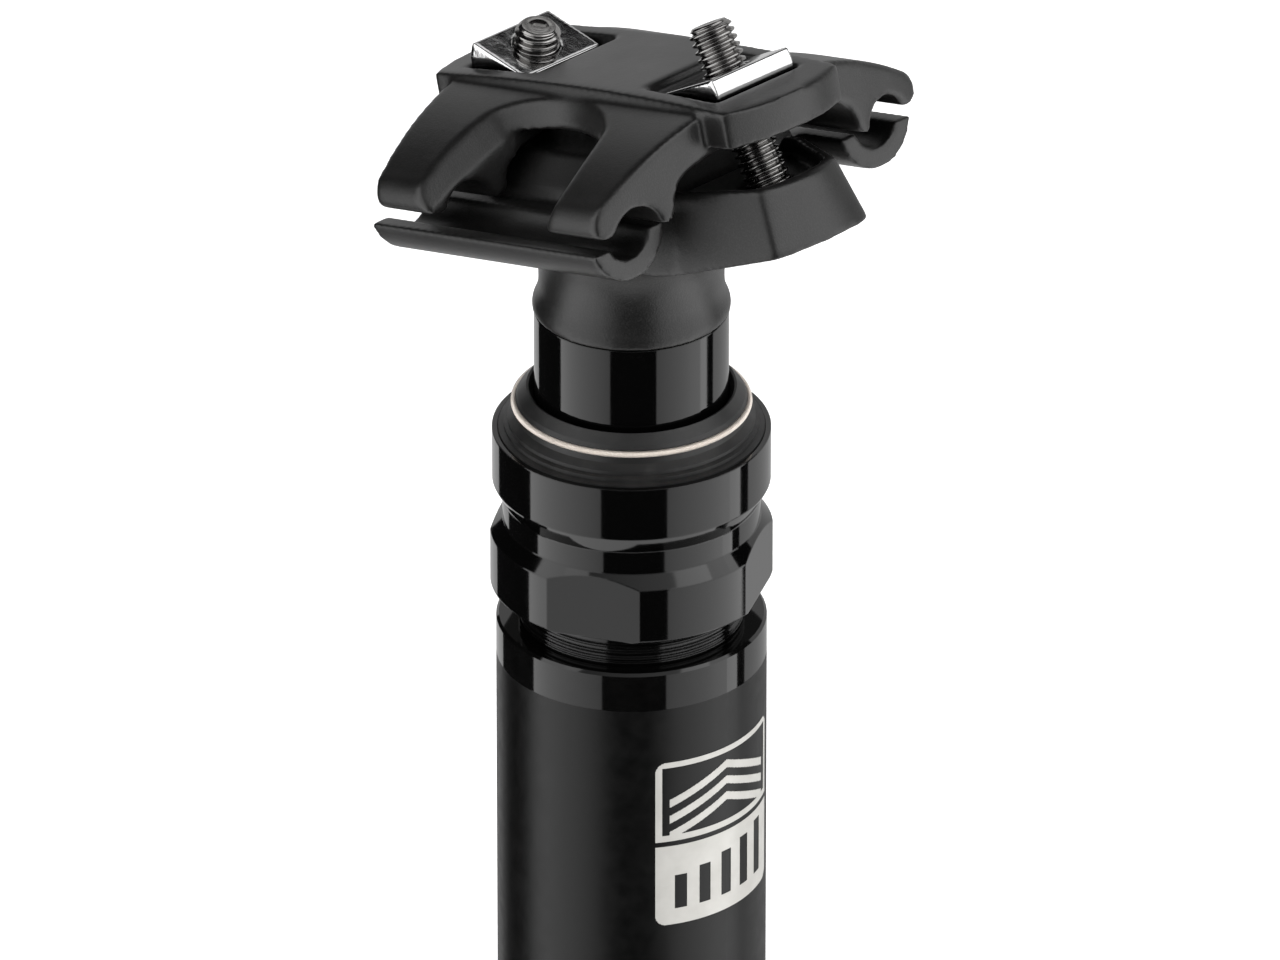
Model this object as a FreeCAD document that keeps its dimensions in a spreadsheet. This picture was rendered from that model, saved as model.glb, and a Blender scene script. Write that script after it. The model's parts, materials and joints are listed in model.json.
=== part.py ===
"""Telescoping bicycle seatpost with a two-bolt saddle clamp, as a parametric FreeCAD document.

Frame: millimetres, +Z up along the post axis, origin on the axis at the top edge of the lower tube,
+X towards the back of the bicycle and +Y to the rider's right. The post stands fully lowered.
"""
import FreeCAD, Part
import Sketcher
import math
import os

Vector = FreeCAD.Vector
UP = Vector(0, 0, 1)
ACROSS = Vector(0, 1, 0)

# Driving dimensions in millimetres and degrees. Radii end in _r and heights end in _z.
SIZES = {
    # lower tube, clamped in the bicycle frame
    "tube_r": 17.45, "tube_bore_r": 14.6, "tube_length": 225, "tube_chamfer": 0.35,
    "keyway_r": 16.1, "keyway_width": 3.2, "keyway_top_z": -40, "keyway_length": 160,
    # gaps between moving and fixed pieces, on the radius, and o-rings with their groove floors
    "running_gap": 0.06, "fit_gap": 0.02, "oring_gap": 0.01, "step_gap": 0.05,
    "small_oring_r": 0.5, "large_oring_r": 0.8, "oring_side_gap": 0.15,
    "small_groove_depth": 1.04, "large_groove_depth": 1.64,
    # collar
    "collar_thread_r": 14.5, "collar_neck_r": 14.2, "collar_ridge": 0.35, "collar_pitch": 0.9,
    "collar_flat_r": 18.2, "collar_edge": 0.35, "collar_low_z": 4.8, "collar_high_z": 12.5,
    "collar_waist_r": 16.6, "collar_waist_low_z": 14.2, "collar_waist_high_z": 17.3,
    "collar_ring_r": 17.9, "collar_ring_low_z": 19.8, "collar_top_z": 27,
    "collar_foot_z": -16, "collar_foot_bore_r": 12.75, "collar_oring_z": -13, "across_flats": 34.2,
    "flat_depth": 4, "first_flat_angle": 29, "rim_bore_r": 17.15, "rim_floor_z": 26.2,
    # pieces held in the collar
    "bushing_r": 13.3, "bushing_low_z": -8, "bushing_high_z": 14.9, "seam_half_width": 0.3,
    "foam_r": 14.55, "foam_low_z": 15.1, "foam_high_z": 20.6, "wiper_low_z": 20.9, "wiper_r": 15.6,
    "wiper_flange_r": 17.1, "wiper_neck_r": 15, "wiper_lip_z": 32.9, "wiper_bore_r": 13,
    "garter_r": 15.06, "garter_z": 30.7, "garter_coil_r": 0.44,
    # sliding tube
    "stanchion_r": 12.5, "stanchion_bore_r": 10.9, "stanchion_top_z": 44.1, "stanchion_foot_z": -190,
    "key_depth_r": 11.7, "key_width": 3, "key_r": 16, "key_low_z": -186, "key_length": 16,
    "lower_bushing_r": 14.54, "lower_bushing_low_z": -166, "lower_bushing_high_z": -150,
    "clip_r": 11.3, "clip_inner_r": 8.9, "clip_low_z": -189.6, "clip_thickness": 1.1,
    "clip_mouth_half_width": 2.5,
    # oil and air column
    "cylinder_bore_r": 7.5, "cylinder_r": 8.5, "cylinder_foot_z": -176, "cylinder_top_z": 42,
    "plug_r": 7.46, "sealhead_r": 10.86, "sealhead_low_z": -188.4, "sealhead_top_z": -160,
    "rod_seal_r": 6.2, "rod_seal_low_z": -165, "sealhead_oring_z": -170,
    "cap_low_z": 30, "cap_oring_z": 36, "cap_boss_r": 4.5, "cap_boss_z": 50, "valve_body_r": 2.6,
    "valve_shoulder_z": 51.4, "valve_stem_r": 3.4, "valve_stem_z": 55, "valve_cap_r": 4.6,
    "valve_cap_z": 57, "float_low_z": -10, "float_top_z": 0, "float_oring_z": -5,
    "float_cup_r": 4.5, "float_cup_depth": 4,
    # piston on its rod
    "rod_r": 4, "rod_bore_r": 1.38, "rod_low_z": -221, "rod_spigot_r": 3, "rod_spigot_z": -26,
    "piston_r": 7.1, "piston_low_z": -30, "piston_top_z": -16, "chamber_r": 3.2,
    "chamber_low_z": -24, "chamber_top_z": -17.2, "retainer_r": 4.4, "retainer_hole_r": 0.8,
    "glide_floor_r": 6.3, "glide_low_z": -25, "glide_high_z": -21, "end_stop_r": 6.7, "end_stop_z": -34,
    # valve worked from the foot of the post
    "stem_r": 1.3, "stem_low_z": -239.9, "poppet_r": 2.4, "poppet_top_z": -21.2,
    "spring_r": 2.6, "spring_wire_r": 0.3, "spring_turns": 3.5,
    # actuator housing and lever
    "housing_top_z": -206, "housing_oring_z": -212, "flange_r": 17.2, "flange_z": -229,
    "cheek_inner": 4.3, "cheek_outer": 8, "cheek_back_x": -8, "cheek_front_x": 14, "cheek_foot_z": -262,
    "stop_back_x": 5, "stop_top_z": -256, "stop_bore_r": 2.55, "stop_seat_z": -257.5, "cable_hole_r": 1.1,
    "pivot_x": 4, "pivot_z": -243, "pin_r": 2, "lever_hub_r": 4, "lever_nose_r": 2.5,
    "lever_nose_z": -242.6, "cable_x": 11, "cable_hub_r": 3.4, "cable_slit_half_width": 0.9,
    "barrel_r": 2.2, "lever_half_width": 3.9, "lever_web_half_height": 2.3,
    "bumper_r": 10.5, "bumper_bead": 0.8, "bumper_bore_r": 4.6, "bumper_top_z": -190.2,
    # saddle clamp: a frame pitched about Y, with its origin midway between the rails
    "clamp_x": 1.4, "clamp_z": 65.7, "clamp_pitch": 14, "tilt_centre": 14, "clamp_shift": 1.85,
    "clearance_height": 20,
    # lower cradle
    "rail_r": 3.5, "rail_half_spacing": 22, "channel_r": 6.2, "channel_length": 42,
    "cradle_r": 20.5, "seat_gap": 0.06, "bridge_top": -1.6, "bridge_depth": 12,
    "bridge_half_length": 15.5, "boss_half_length": 13.2, "outer_lip": -1.3, "inner_lip": -0.6,
    # upper clamp
    "plate_top": 13.5, "plate_under": 7.6, "plate_half_width": 10.2, "crown_r": 400,
    "plate_x": 2.25, "plate_half_length": 29.3, "plate_bow": 2.4, "groove_start": 20, "groove_end": 176,
    "arch_y": 12, "arch_half_length": 8, "arch_reach": 16, "rim_under": 7.9, "arm_top_at_arch": 12.2,
    "bevel_drop": 3.5, "bevel_rise": 1.5, "bevel_inset": 2.2, "bevel_arch_inset": 1.6, "arm_slope": 0.45,
    "recess_floor": 12, "recess_inner": 8.1, "recess_outer": 5.2, "recess_half_width": 7.3,
    "recess_corner_r": 1.2, "nut_half_spacing": 18.05, "nut_height": 12.9, "nut_r": 5,
    "nut_length": 13.5, "nut_top": 1.2, "nut_pocket_gap": 0.25,
    # head forging
    "spigot_r": 10.88, "spigot_low_z": 20, "neck_r": 12.75, "neck_band_z": 45.4, "neck_waist_r": 11.9,
    "neck_waist_z": 48.6, "neck_top_z": 57, "neck_top_r": 14.5, "head_bore_r": 8.56, "head_bore_z": 42.1,
    "boss_bore_r": 4.6, "boss_bore_z": 60, "access_r": 6, "access_z": 75,
    "hull_top": 1.3, "hull_depth": 12, "hull_half_length": 30.1, "hull_half_width": 11.4, "hull_nose": 1.5,
    "hull_shoulder": 6.8, "hull_middle": 18, "hull_flare": 0.31, "hull_side_flare": 0.18,
    "well_inner": 8, "well_floor": -0.9, "well_wall": 1.5, "seat_side_gap": 0.35,
    # clamp bolts
    "bolt_r": 2.9, "rear_lean": 16.5, "front_lean": 23, "rear_seat": -3.2, "front_seat": -5.8,
    "bolt_length": 24.3, "bolt_head_r": 4.3, "bolt_head_height": 3.4, "bolt_edge": 0.4, "bolt_tip": 0.6,
    "socket_r": 2.7, "socket_depth": 2.4, "bolt_clearance": 0.7, "bolt_swing": 7,
    "washer_r": 4.6, "washer_thickness": 1.9, "washer_dome_r": 6, "washer_centre": -5.24,
}

# Section of the saddle clamp's arms, as distance from the middle and height in the clamp frame.
ARM_TOP = [(0, 6.2), (0, 11.9), (10.9, 11.9), (13, 11.4), (18, 9.75), (24, 6.9), (26.5, 5.4)]
ARM_TIP = [(28.1, 3.9), (28.4, 1.8), (27.3, 0.8)]
ARM_LOBE = [(17.4, 0.2), (16.1, 1.5), (15.1, 4.3), (12.8, 5.7), (9, 6.5)]

# Section of the cradle's raised middle, from one side to the other.
CRADLE_BOSS = [(-15.5, -1.2), (-14.3, 1), (-11.4, 4.5), (11.4, 4.5), (14.3, 1), (15.5, -1.2)]

# Plan of one arm, as distance along the rail from the middle and across it.
ARM_INSIDE = [(8.5, 15.4), (9.2, 18.5), (10.1, 24), (10.9, 30)]
ARM_OUTSIDE = [(20.3, 30), (21.4, 24), (22.3, 18), (23, 12.5), (23.3, 0)]

# Side view of the block that trims the head's underside, as distance along it and height.
KEEL = [(-42, -5.8), (-36, -6.8), (-14, -9.9), (14, -9.9), (36, -6.8), (42, -5.8), (42, 8), (-42, 8)]

doc = FreeCAD.newDocument("Seatpost")
sheet = doc.addObject("Spreadsheet::Sheet", "Sizes")
for row, (alias, size) in enumerate(SIZES.items(), start=1):
    sheet.set(f"A{row}", alias)
    sheet.set(f"B{row}", str(size))
    sheet.setAlias(f"B{row}", alias)
doc.recompute()

nodes = {}


# ---------------------------------------------------------------- helpers

def number(text):
    """Value of a sum such as 'tube_r - 0.5', whose words are aliases or plain numbers."""
    total = 0.0
    sign = 1
    for word in text.split():
        if word in ("+", "-"):
            sign = 1 if word == "+" else -1
        elif word in SIZES:
            total += sign * SIZES[word]
        else:
            total += sign * float(word)
    return total


def formula(text):
    """The same sum as an expression on the sheet."""
    return " ".join(f"Sizes.{word}" if word in SIZES else word for word in text.split())


def bind(thing, **properties):
    for name, text in properties.items():
        thing.setExpression(name, formula(text))


def plane(body, role):
    return next(feature for feature in body.Origin.OriginFeatures if feature.Role == role)


def outline(body, role, corners):
    """Closed sketch with straight sides through the corners, each corner bound to the sheet."""
    sketch = body.newObject("Sketcher::SketchObject", body.Name + "_outline")
    sketch.AttachmentSupport = [(plane(body, role), "")]
    sketch.MapMode = "FlatFace"
    points = [Vector(number(a), number(b), 0) for a, b in corners]
    count = len(points)
    for index, point in enumerate(points):
        sketch.addGeometry(Part.LineSegment(point, points[(index + 1) % count]))
    for index in range(count):
        sketch.addConstraint(Sketcher.Constraint("Coincident", index, 2, (index + 1) % count, 1))
    for index, texts in enumerate(corners):
        for kind, axis, text in zip(("DistanceX", "DistanceY"), (-2, -1), texts):
            if text == "0":
                sketch.addConstraint(Sketcher.Constraint("PointOnObject", index, 1, axis))
                continue
            slot = sketch.addConstraint(Sketcher.Constraint(kind, -1, 1, index, 1, number(text)))
            sketch.setExpression(f"Constraints[{slot}]", formula(text))
    return sketch


def turned(label, corners):
    """Body of revolution about the post axis from (radius, height) corners."""
    body = doc.addObject("PartDesign::Body", label)
    sketch = outline(body, "XZ_Plane", corners)
    turn = body.newObject("PartDesign::Revolution", label + "_turn")
    turn.Profile = sketch
    turn.ReferenceAxis = (sketch, ["V_Axis"])
    turn.Angle = 360
    return body


def sleeve(label, inner, outer, low, high):
    return turned(label, [(inner, low), (outer, low), (outer, high), (inner, high)])


def oring_groove(radius, floor, height, section):
    """Corners of a square groove, going up, in an outside wall."""
    low = f"{height} - {section} - oring_side_gap"
    high = f"{height} + {section} + oring_side_gap"
    return [(radius, low), (floor, low), (floor, high), (radius, high)]


def torus(label, ring, section, height):
    made = doc.addObject("Part::Torus", label)
    bind(made, Radius1=ring, Radius2=section)
    made.setExpression("Placement.Base.z", formula(height))
    return made


def block(label, low, high):
    """Box between two corners, each given as three sums."""
    made = doc.addObject("Part::Box", label)
    for side, axis, start, stop in zip(("Length", "Width", "Height"), "xyz", low, high):
        made.setExpression(side, f"({formula(stop)}) - ({formula(start)})")
        made.setExpression(f"Placement.Base.{axis}", formula(start))
    return made


def rod(label, radius, length, base, direction=UP):
    made = doc.addObject("Part::Cylinder", label)
    bind(made, Radius=radius, Height=length)
    made.Placement = FreeCAD.Placement(base, FreeCAD.Rotation(UP, direction))
    return made


def cut(label, base, *tools):
    """Base less every tool."""
    done = base
    for index, tool in enumerate(tools, start=1):
        step = doc.addObject("Part::Cut", label if index == len(tools) else f"{label}_less_{index}")
        step.Base = done
        step.Tool = tool
        done = step
    return done


def join(label, *pieces):
    made = doc.addObject("Part::MultiFuse", label)
    made.Shapes = list(pieces)
    made.Refine = True
    return made


def group(label, *pieces):
    made = doc.addObject("Part::Compound", label)
    made.Links = list(pieces)
    return made


def turned_about_post(thing, angle):
    thing.Placement = FreeCAD.Placement(Vector(), FreeCAD.Rotation(UP, angle)) * thing.Placement
    return thing


def node(name, thing):
    thing.Label = name
    nodes[name] = thing
    return thing


def feature(name, shape, placement=None):
    made = doc.addObject("Part::Feature", name)
    made.Shape = shape
    if placement is not None:
        made.Placement = placement
    return made


def face(edges_or_points):
    """Flat face from a list of points, or of edges where a side is an arc."""
    if isinstance(edges_or_points[0], Vector):
        return Part.Face(Part.makePolygon(edges_or_points + edges_or_points[:1]))
    return Part.Face(Part.Wire(edges_or_points))


# ---------------------------------------------------------------- lower tube and collar

def lower_tube():
    shell = turned("lower_tube_shell", [
        ("tube_bore_r", "0 - tube_length"),
        ("tube_r - tube_chamfer", "0 - tube_length"),
        ("tube_r", "tube_chamfer - tube_length"),
        ("tube_r", "0 - tube_chamfer"),
        ("tube_r - tube_chamfer", "0"),
        ("tube_bore_r", "0"),
    ])
    keyways = []
    for index in range(3):
        keyway = doc.addObject("Part::Box", f"keyway_{index}")
        bind(keyway, Length="keyway_r", Width="keyway_width", Height="keyway_length")
        low = number("keyway_top_z - keyway_length")
        keyway.Placement.Base = Vector(0, -number("keyway_width") / 2, low)
        keyways.append(turned_about_post(keyway, 60 + 120 * index))
    node("lower_tube", cut("lower_tube", shell, *keyways))


def collar():
    ridges = []
    for index in range(3):
        low = f"0.3 + {index * SIZES['collar_pitch']}"
        ridges.append(("collar_neck_r", low))
        ridges.append(("collar_neck_r + collar_ridge", low + " + 0.3"))
        ridges.append(("collar_neck_r", low + " + 0.6"))
    groove_floor = "tube_bore_r - small_groove_depth"
    body = turned("collar_body", [
        ("collar_foot_bore_r", "collar_foot_z"),
        ("collar_thread_r", "collar_foot_z"),
        *oring_groove("collar_thread_r", groove_floor, "collar_oring_z", "small_oring_r"),
        ("collar_thread_r", "0.1"),
        ("collar_neck_r", "0.1"),
        *ridges,
        ("collar_neck_r", "collar_low_z"),
        ("collar_flat_r - collar_edge", "collar_low_z"),
        ("collar_flat_r", "collar_low_z + collar_edge"),
        ("collar_flat_r", "collar_high_z"),
        ("collar_waist_r", "collar_waist_low_z"),
        ("collar_waist_r", "collar_waist_high_z"),
        ("collar_ring_r", "collar_ring_low_z"),
        ("collar_ring_r", "collar_top_z"),
        ("rim_bore_r", "collar_top_z"),
        ("rim_bore_r", "rim_floor_z"),
        ("wiper_r + fit_gap", "rim_floor_z"),
        ("wiper_r + fit_gap", "wiper_low_z - step_gap"),
        ("foam_r + fit_gap", "wiper_low_z - step_gap"),
        ("foam_r + fit_gap", "foam_low_z - step_gap"),
        ("bushing_r + fit_gap", "foam_low_z - step_gap"),
        ("bushing_r + fit_gap", "bushing_low_z - step_gap"),
        ("collar_foot_bore_r", "bushing_low_z - step_gap"),
    ])
    flats = []
    for index in range(4):
        flat = doc.addObject("Part::Box", f"wrench_flat_{index}")
        bind(flat, Length="flat_depth", Width="collar_flat_r + collar_flat_r",
             Height="collar_waist_low_z - collar_low_z")
        half = SIZES["across_flats"] / 2
        flat.Placement.Base = Vector(half, -SIZES["collar_flat_r"], SIZES["collar_low_z"])
        flats.append(turned_about_post(flat, SIZES["first_flat_angle"] + 90 * index))
    node("collar", cut("collar", body, *flats))
    ring = "tube_bore_r - small_oring_r - oring_gap"
    node("collar_oring", torus("collar_oring", ring, "small_oring_r", "collar_oring_z"))


def split_sleeve(name, inner, outer, low, high):
    """Bearing sleeve rolled from strip, with its open seam along one side."""
    seam = block(name + "_seam", ("0", "0 - seam_half_width", low + " - 1"),
                 (outer + " + 1", "seam_half_width", high + " + 1"))
    node(name, cut(name, sleeve(name + "_strip", inner, outer, low, high), seam))


def collar_fill():
    slide = "stanchion_r + running_gap"
    split_sleeve("upper_bushing", slide, "bushing_r", "bushing_low_z", "bushing_high_z")
    node("foam_oil_ring", sleeve("foam_oil_ring", slide, "foam_r", "foam_low_z", "foam_high_z"))
    rubber = turned("wiper_rubber", [
        ("wiper_bore_r + 0.3", "wiper_low_z"),
        ("wiper_r", "wiper_low_z"),
        ("wiper_r", "rim_floor_z"),
        ("wiper_flange_r", "rim_floor_z"),
        ("wiper_flange_r", "collar_top_z + 0.2"),
        ("wiper_flange_r - 0.7", "collar_top_z + 0.4"),
        ("wiper_flange_r - 0.7", "collar_top_z + 0.9"),
        ("wiper_flange_r - 1.2", "collar_top_z + 1.1"),
        ("wiper_flange_r - 1.2", "collar_top_z + 1.6"),
        ("wiper_neck_r", "garter_z - 1.4"),
        ("wiper_neck_r", "garter_z + 0.1"),
        ("wiper_neck_r - 0.12", "garter_z + 0.5"),
        ("wiper_neck_r - 0.4", "garter_z + 1"),
        ("wiper_bore_r + 0.5", "wiper_lip_z"),
        ("wiper_bore_r + 0.2", "wiper_lip_z - 0.1"),
        (slide, "wiper_lip_z - 1.1"),
        (slide, "wiper_lip_z - 1.5"),
        ("wiper_bore_r", "wiper_lip_z - 2.2"),
        ("wiper_bore_r", "wiper_low_z + 1.7"),
        (slide, "wiper_low_z + 1.1"),
        (slide, "wiper_low_z + 0.7"),
    ])
    channel = torus("garter_channel", "garter_r", "garter_coil_r + fit_gap", "garter_z")
    node("wiper_seal", cut("wiper_seal", rubber, channel))
    node("wiper_garter_spring", torus("wiper_garter_spring", "garter_r", "garter_coil_r", "garter_z"))


# ---------------------------------------------------------------- sliding tube and what it carries

def stanchion():
    clip_low = "clip_low_z - step_gap"
    clip_high = "clip_low_z + clip_thickness + step_gap"
    tube = turned("stanchion_wall", [
        ("stanchion_bore_r", "stanchion_foot_z"),
        ("stanchion_r - 0.3", "stanchion_foot_z"),
        ("stanchion_r", "stanchion_foot_z + 0.3"),
        ("stanchion_r", "stanchion_top_z"),
        ("stanchion_bore_r", "stanchion_top_z"),
        ("stanchion_bore_r", clip_high),
        ("clip_r + step_gap", clip_high),
        ("clip_r + step_gap", clip_low),
        ("stanchion_bore_r", clip_low),
    ])
    half = SIZES["key_width"] / 2
    slots = []
    keys = []
    for index in range(3):
        slot = doc.addObject("Part::Box", f"key_slot_{index}")
        key = doc.addObject("Part::Box", f"guide_key_{index}")
        bind(slot, Length="key_r", Width="key_width", Height="key_length")
        slot.Placement.Base = Vector(number("key_depth_r - fit_gap"), -half, SIZES["key_low_z"])
        bind(key, Length="key_r - key_depth_r", Width="key_width - fit_gap", Height="key_length - fit_gap")
        key.Placement.Base = Vector(
            SIZES["key_depth_r"], SIZES["fit_gap"] / 2 - half, SIZES["key_low_z"] + SIZES["fit_gap"] / 2)
        slots.append(turned_about_post(slot, 60 + 120 * index))
        keys.append(turned_about_post(key, 60 + 120 * index))
    node("stanchion_tube", cut("stanchion_tube", tube, *slots))
    node("guide_keys", group("guide_keys", *keys))
    split_sleeve("lower_bushing", "stanchion_r + fit_gap", "lower_bushing_r",
                 "lower_bushing_low_z", "lower_bushing_high_z")
    mouth = block("clip_mouth", ("0", "0 - clip_mouth_half_width", "clip_low_z - 1"),
                  ("clip_r + 1", "clip_mouth_half_width", "clip_low_z + clip_thickness + 1"))
    clip = sleeve("clip_ring", "clip_inner_r", "clip_r", "clip_low_z", "clip_low_z + clip_thickness")
    node("retaining_ring", cut("retaining_ring", clip, mouth))


def oil_column():
    node("oil_cylinder", sleeve(
        "oil_cylinder", "cylinder_bore_r", "cylinder_r", "cylinder_foot_z", "cylinder_top_z"))
    small_floor = "cylinder_bore_r - small_groove_depth"
    large_floor = "cylinder_bore_r - large_groove_depth"
    small_ring = "cylinder_bore_r - small_oring_r - oring_gap"
    node("sealhead", turned("sealhead", [
        ("rod_r + running_gap", "sealhead_low_z"),
        ("sealhead_r", "sealhead_low_z"),
        ("sealhead_r", "cylinder_foot_z - step_gap"),
        ("plug_r", "cylinder_foot_z - step_gap"),
        *oring_groove("plug_r", small_floor, "sealhead_oring_z", "small_oring_r"),
        ("plug_r", "sealhead_top_z"),
        ("rod_seal_r", "sealhead_top_z"),
        ("rod_seal_r", "rod_seal_low_z"),
        ("rod_r + running_gap", "rod_seal_low_z"),
    ]))
    node("sealhead_oring", torus("sealhead_oring", small_ring, "small_oring_r", "sealhead_oring_z"))
    node("rod_seal", turned("rod_seal", [
        ("rod_r + running_gap", "rod_seal_low_z + step_gap"),
        ("rod_seal_r - fit_gap", "rod_seal_low_z + step_gap"),
        ("rod_seal_r - fit_gap", "sealhead_top_z - 0.6"),
        ("rod_seal_r - 0.6", "sealhead_top_z - 0.2"),
        ("rod_r + 0.9", "sealhead_top_z - 1.6"),
        ("rod_r + running_gap", "sealhead_top_z - 0.6"),
    ]))
    node("cylinder_cap", turned("cylinder_cap", [
        ("valve_body_r", "cap_low_z"),
        ("plug_r", "cap_low_z"),
        *oring_groove("plug_r", small_floor, "cap_oring_z", "small_oring_r"),
        ("plug_r", "cylinder_top_z"),
        ("cap_boss_r", "cylinder_top_z"),
        ("cap_boss_r", "cap_boss_z"),
        ("valve_body_r", "cap_boss_z"),
    ]))
    node("cap_oring", torus("cap_oring", small_ring, "small_oring_r", "cap_oring_z"))
    node("air_valve", turned("air_valve", [
        ("0", "cap_low_z + 2"),
        ("valve_body_r - fit_gap", "cap_low_z + 2"),
        ("valve_body_r - fit_gap", "cap_boss_z + step_gap"),
        ("cap_boss_r - 0.1", "cap_boss_z + step_gap"),
        ("cap_boss_r - 0.1", "valve_shoulder_z"),
        ("valve_stem_r", "valve_shoulder_z"),
        ("valve_stem_r", "valve_stem_z"),
        ("0", "valve_stem_z"),
    ]))
    node("air_valve_cap", turned("air_valve_cap", [
        ("valve_stem_r + fit_gap", "valve_shoulder_z + step_gap"),
        ("valve_cap_r", "valve_shoulder_z + step_gap"),
        ("valve_cap_r", "valve_cap_z - 0.5"),
        ("valve_cap_r - 0.5", "valve_cap_z"),
        ("0", "valve_cap_z"),
        ("0", "valve_stem_z + 0.1"),
        ("valve_stem_r + fit_gap", "valve_stem_z + 0.1"),
    ]))
    slide = "cylinder_bore_r - running_gap"
    node("floating_piston", turned("floating_piston", [
        ("0", "float_low_z + float_cup_depth"),
        ("float_cup_r", "float_low_z + float_cup_depth"),
        ("float_cup_r", "float_low_z"),
        (slide, "float_low_z"),
        *oring_groove(slide, large_floor, "float_oring_z", "large_oring_r"),
        (slide, "float_top_z"),
        ("0", "float_top_z"),
    ]))
    ring = "cylinder_bore_r - large_oring_r - oring_gap"
    node("floating_piston_oring", torus("floating_piston_oring", ring, "large_oring_r", "float_oring_z"))


# ---------------------------------------------------------------- piston, rod and valve

def piston_and_rod():
    node("piston_rod", turned("piston_rod", [
        ("rod_bore_r", "rod_low_z"),
        ("rod_r", "rod_low_z"),
        ("rod_r", "piston_low_z"),
        ("rod_spigot_r", "piston_low_z"),
        ("rod_spigot_r", "rod_spigot_z"),
        ("rod_bore_r", "rod_spigot_z"),
    ]))
    node("main_piston", turned("main_piston", [
        ("rod_spigot_r + fit_gap", "piston_low_z"),
        ("piston_r", "piston_low_z"),
        ("piston_r", "glide_low_z"),
        ("glide_floor_r", "glide_low_z"),
        ("glide_floor_r", "glide_high_z"),
        ("piston_r", "glide_high_z"),
        ("piston_r", "piston_top_z"),
        ("retainer_r + fit_gap", "piston_top_z"),
        ("retainer_r + fit_gap", "chamber_top_z"),
        ("chamber_r", "chamber_top_z"),
        ("chamber_r", "chamber_low_z"),
        ("rod_bore_r", "chamber_low_z"),
        ("rod_bore_r", "rod_spigot_z"),
        ("rod_spigot_r + fit_gap", "rod_spigot_z"),
    ]))
    node("piston_glide_ring", sleeve(
        "piston_glide_ring", "glide_floor_r + fit_gap", "cylinder_bore_r - running_gap",
        "glide_low_z + step_gap", "glide_high_z - step_gap"))
    node("end_stop_ring", sleeve(
        "end_stop_ring", "rod_r + fit_gap", "end_stop_r", "end_stop_z", "piston_low_z - fit_gap"))
    node("poppet_retainer", sleeve(
        "poppet_retainer", "retainer_hole_r", "retainer_r", "chamber_top_z + fit_gap", "piston_top_z"))
    node("bottom_bumper", turned("bottom_bumper", [
        ("bumper_bore_r", "housing_top_z + fit_gap"),
        ("bumper_r", "housing_top_z + fit_gap"),
        ("bumper_r + bumper_bead", "housing_top_z + 4"),
        ("bumper_r", "housing_top_z + 8"),
        ("bumper_r + bumper_bead", "bumper_top_z - 3"),
        ("bumper_r + bumper_bead", "bumper_top_z"),
        ("bumper_bore_r + 4.4", "bumper_top_z"),
        ("bumper_bore_r", "bumper_top_z - 4"),
    ]))


def valve():
    node("valve_stem", turned("valve_stem", [
        ("0", "stem_low_z"),
        ("stem_r", "stem_low_z"),
        ("stem_r", "chamber_low_z + 0.6"),
        ("poppet_r", "chamber_low_z + 1.2"),
        ("poppet_r", "poppet_top_z"),
        ("0", "poppet_top_z"),
    ]))
    low = SIZES["poppet_top_z"] + SIZES["spring_wire_r"] + SIZES["fit_gap"]
    high = SIZES["chamber_top_z"] - SIZES["spring_wire_r"]
    path = Part.makeHelix((high - low) / SIZES["spring_turns"], high - low, SIZES["spring_r"])
    section = Part.Wire(Part.makeCircle(SIZES["spring_wire_r"], Vector(SIZES["spring_r"], 0, 0), ACROSS))
    coil = Part.Wire(path).makePipeShell([section], True, True)
    place = FreeCAD.Placement(Vector(0, 0, low), FreeCAD.Rotation())
    node("valve_spring", feature("valve_spring", coil, place))


# ---------------------------------------------------------------- actuator at the foot

def actuator():
    groove_floor = "tube_bore_r - large_groove_depth"
    plug = turned("housing_plug", [
        ("rod_bore_r", "flange_z"),
        ("flange_r", "flange_z"),
        ("flange_r", "0 - tube_length - fit_gap"),
        ("collar_thread_r", "0 - tube_length - fit_gap"),
        *oring_groove("collar_thread_r", groove_floor, "housing_oring_z", "large_oring_r"),
        ("collar_thread_r", "housing_top_z"),
        ("rod_r + fit_gap", "housing_top_z"),
        ("rod_r + fit_gap", "rod_low_z"),
        ("rod_bore_r", "rod_low_z"),
    ])
    back, front = "cheek_back_x", "cheek_front_x"
    foot = "cheek_foot_z"
    right = block("right_cheek", (back, "cheek_inner", foot), (front, "cheek_outer", "flange_z"))
    left = block("left_cheek", (back, "0 - cheek_outer", foot), (front, "0 - cheek_inner", "flange_z"))
    stop = block("cable_stop", ("stop_back_x", "0 - cheek_outer", foot), (front, "cheek_outer", "stop_top_z"))
    pivot = Vector(SIZES["pivot_x"], -SIZES["cheek_outer"], SIZES["pivot_z"])
    cable = Vector(SIZES["cable_x"], 0, SIZES["cheek_foot_z"])
    housing = join("housing_casting", plug, right, left, stop)
    tools = [
        rod("pivot_bore", "pin_r + fit_gap", "cheek_outer + cheek_outer", pivot, ACROSS),
        rod("ferrule_bore", "stop_bore_r", "stop_seat_z - cheek_foot_z", cable),
        rod("inner_cable_bore", "cable_hole_r", "stop_top_z - cheek_foot_z", cable),
    ]
    node("actuator_housing", cut("actuator_housing", housing, *tools))
    ring = "tube_bore_r - large_oring_r - oring_gap"
    node("housing_oring", torus("housing_oring", ring, "large_oring_r", "housing_oring_z"))
    node("lever_pin", rod("lever_pin", "pin_r", "cheek_outer + cheek_outer", pivot, ACROSS))


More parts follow.
